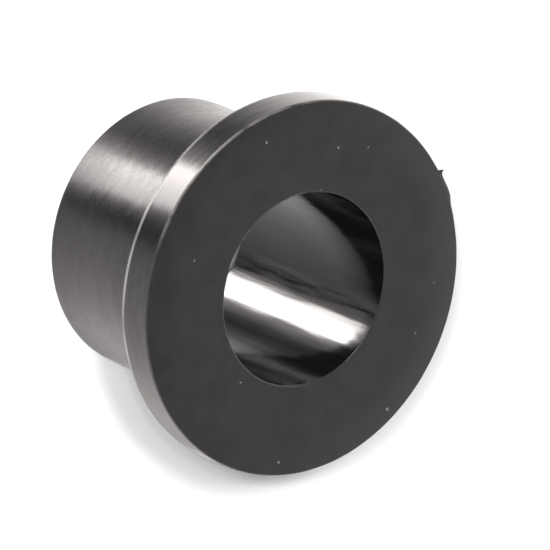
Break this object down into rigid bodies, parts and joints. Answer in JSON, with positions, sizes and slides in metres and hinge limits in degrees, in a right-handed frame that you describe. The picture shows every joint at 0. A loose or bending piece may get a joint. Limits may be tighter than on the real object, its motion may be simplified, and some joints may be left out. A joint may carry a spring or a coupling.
{
  "type": "shoulder washer",
  "caption": "Turned plastic shoulder washer: a thin round flange on a short sleeve, with a plain bore through both.",
  "frame": {"origin": "centre of the bore at the end face of the sleeve, on which the washer stands", "axes": "+Z along the bore axis, from the sleeve's end to the flange's front face; X and Y are equivalent"},
  "size_m": [0.0126, 0.0126, 0.0079],
  "materials": {
    "black_plastic": "turned, satin"
  },
  "bodies": {
    "root": {"shoulder_washer": "black_plastic"}
  },
  "joints": []
}
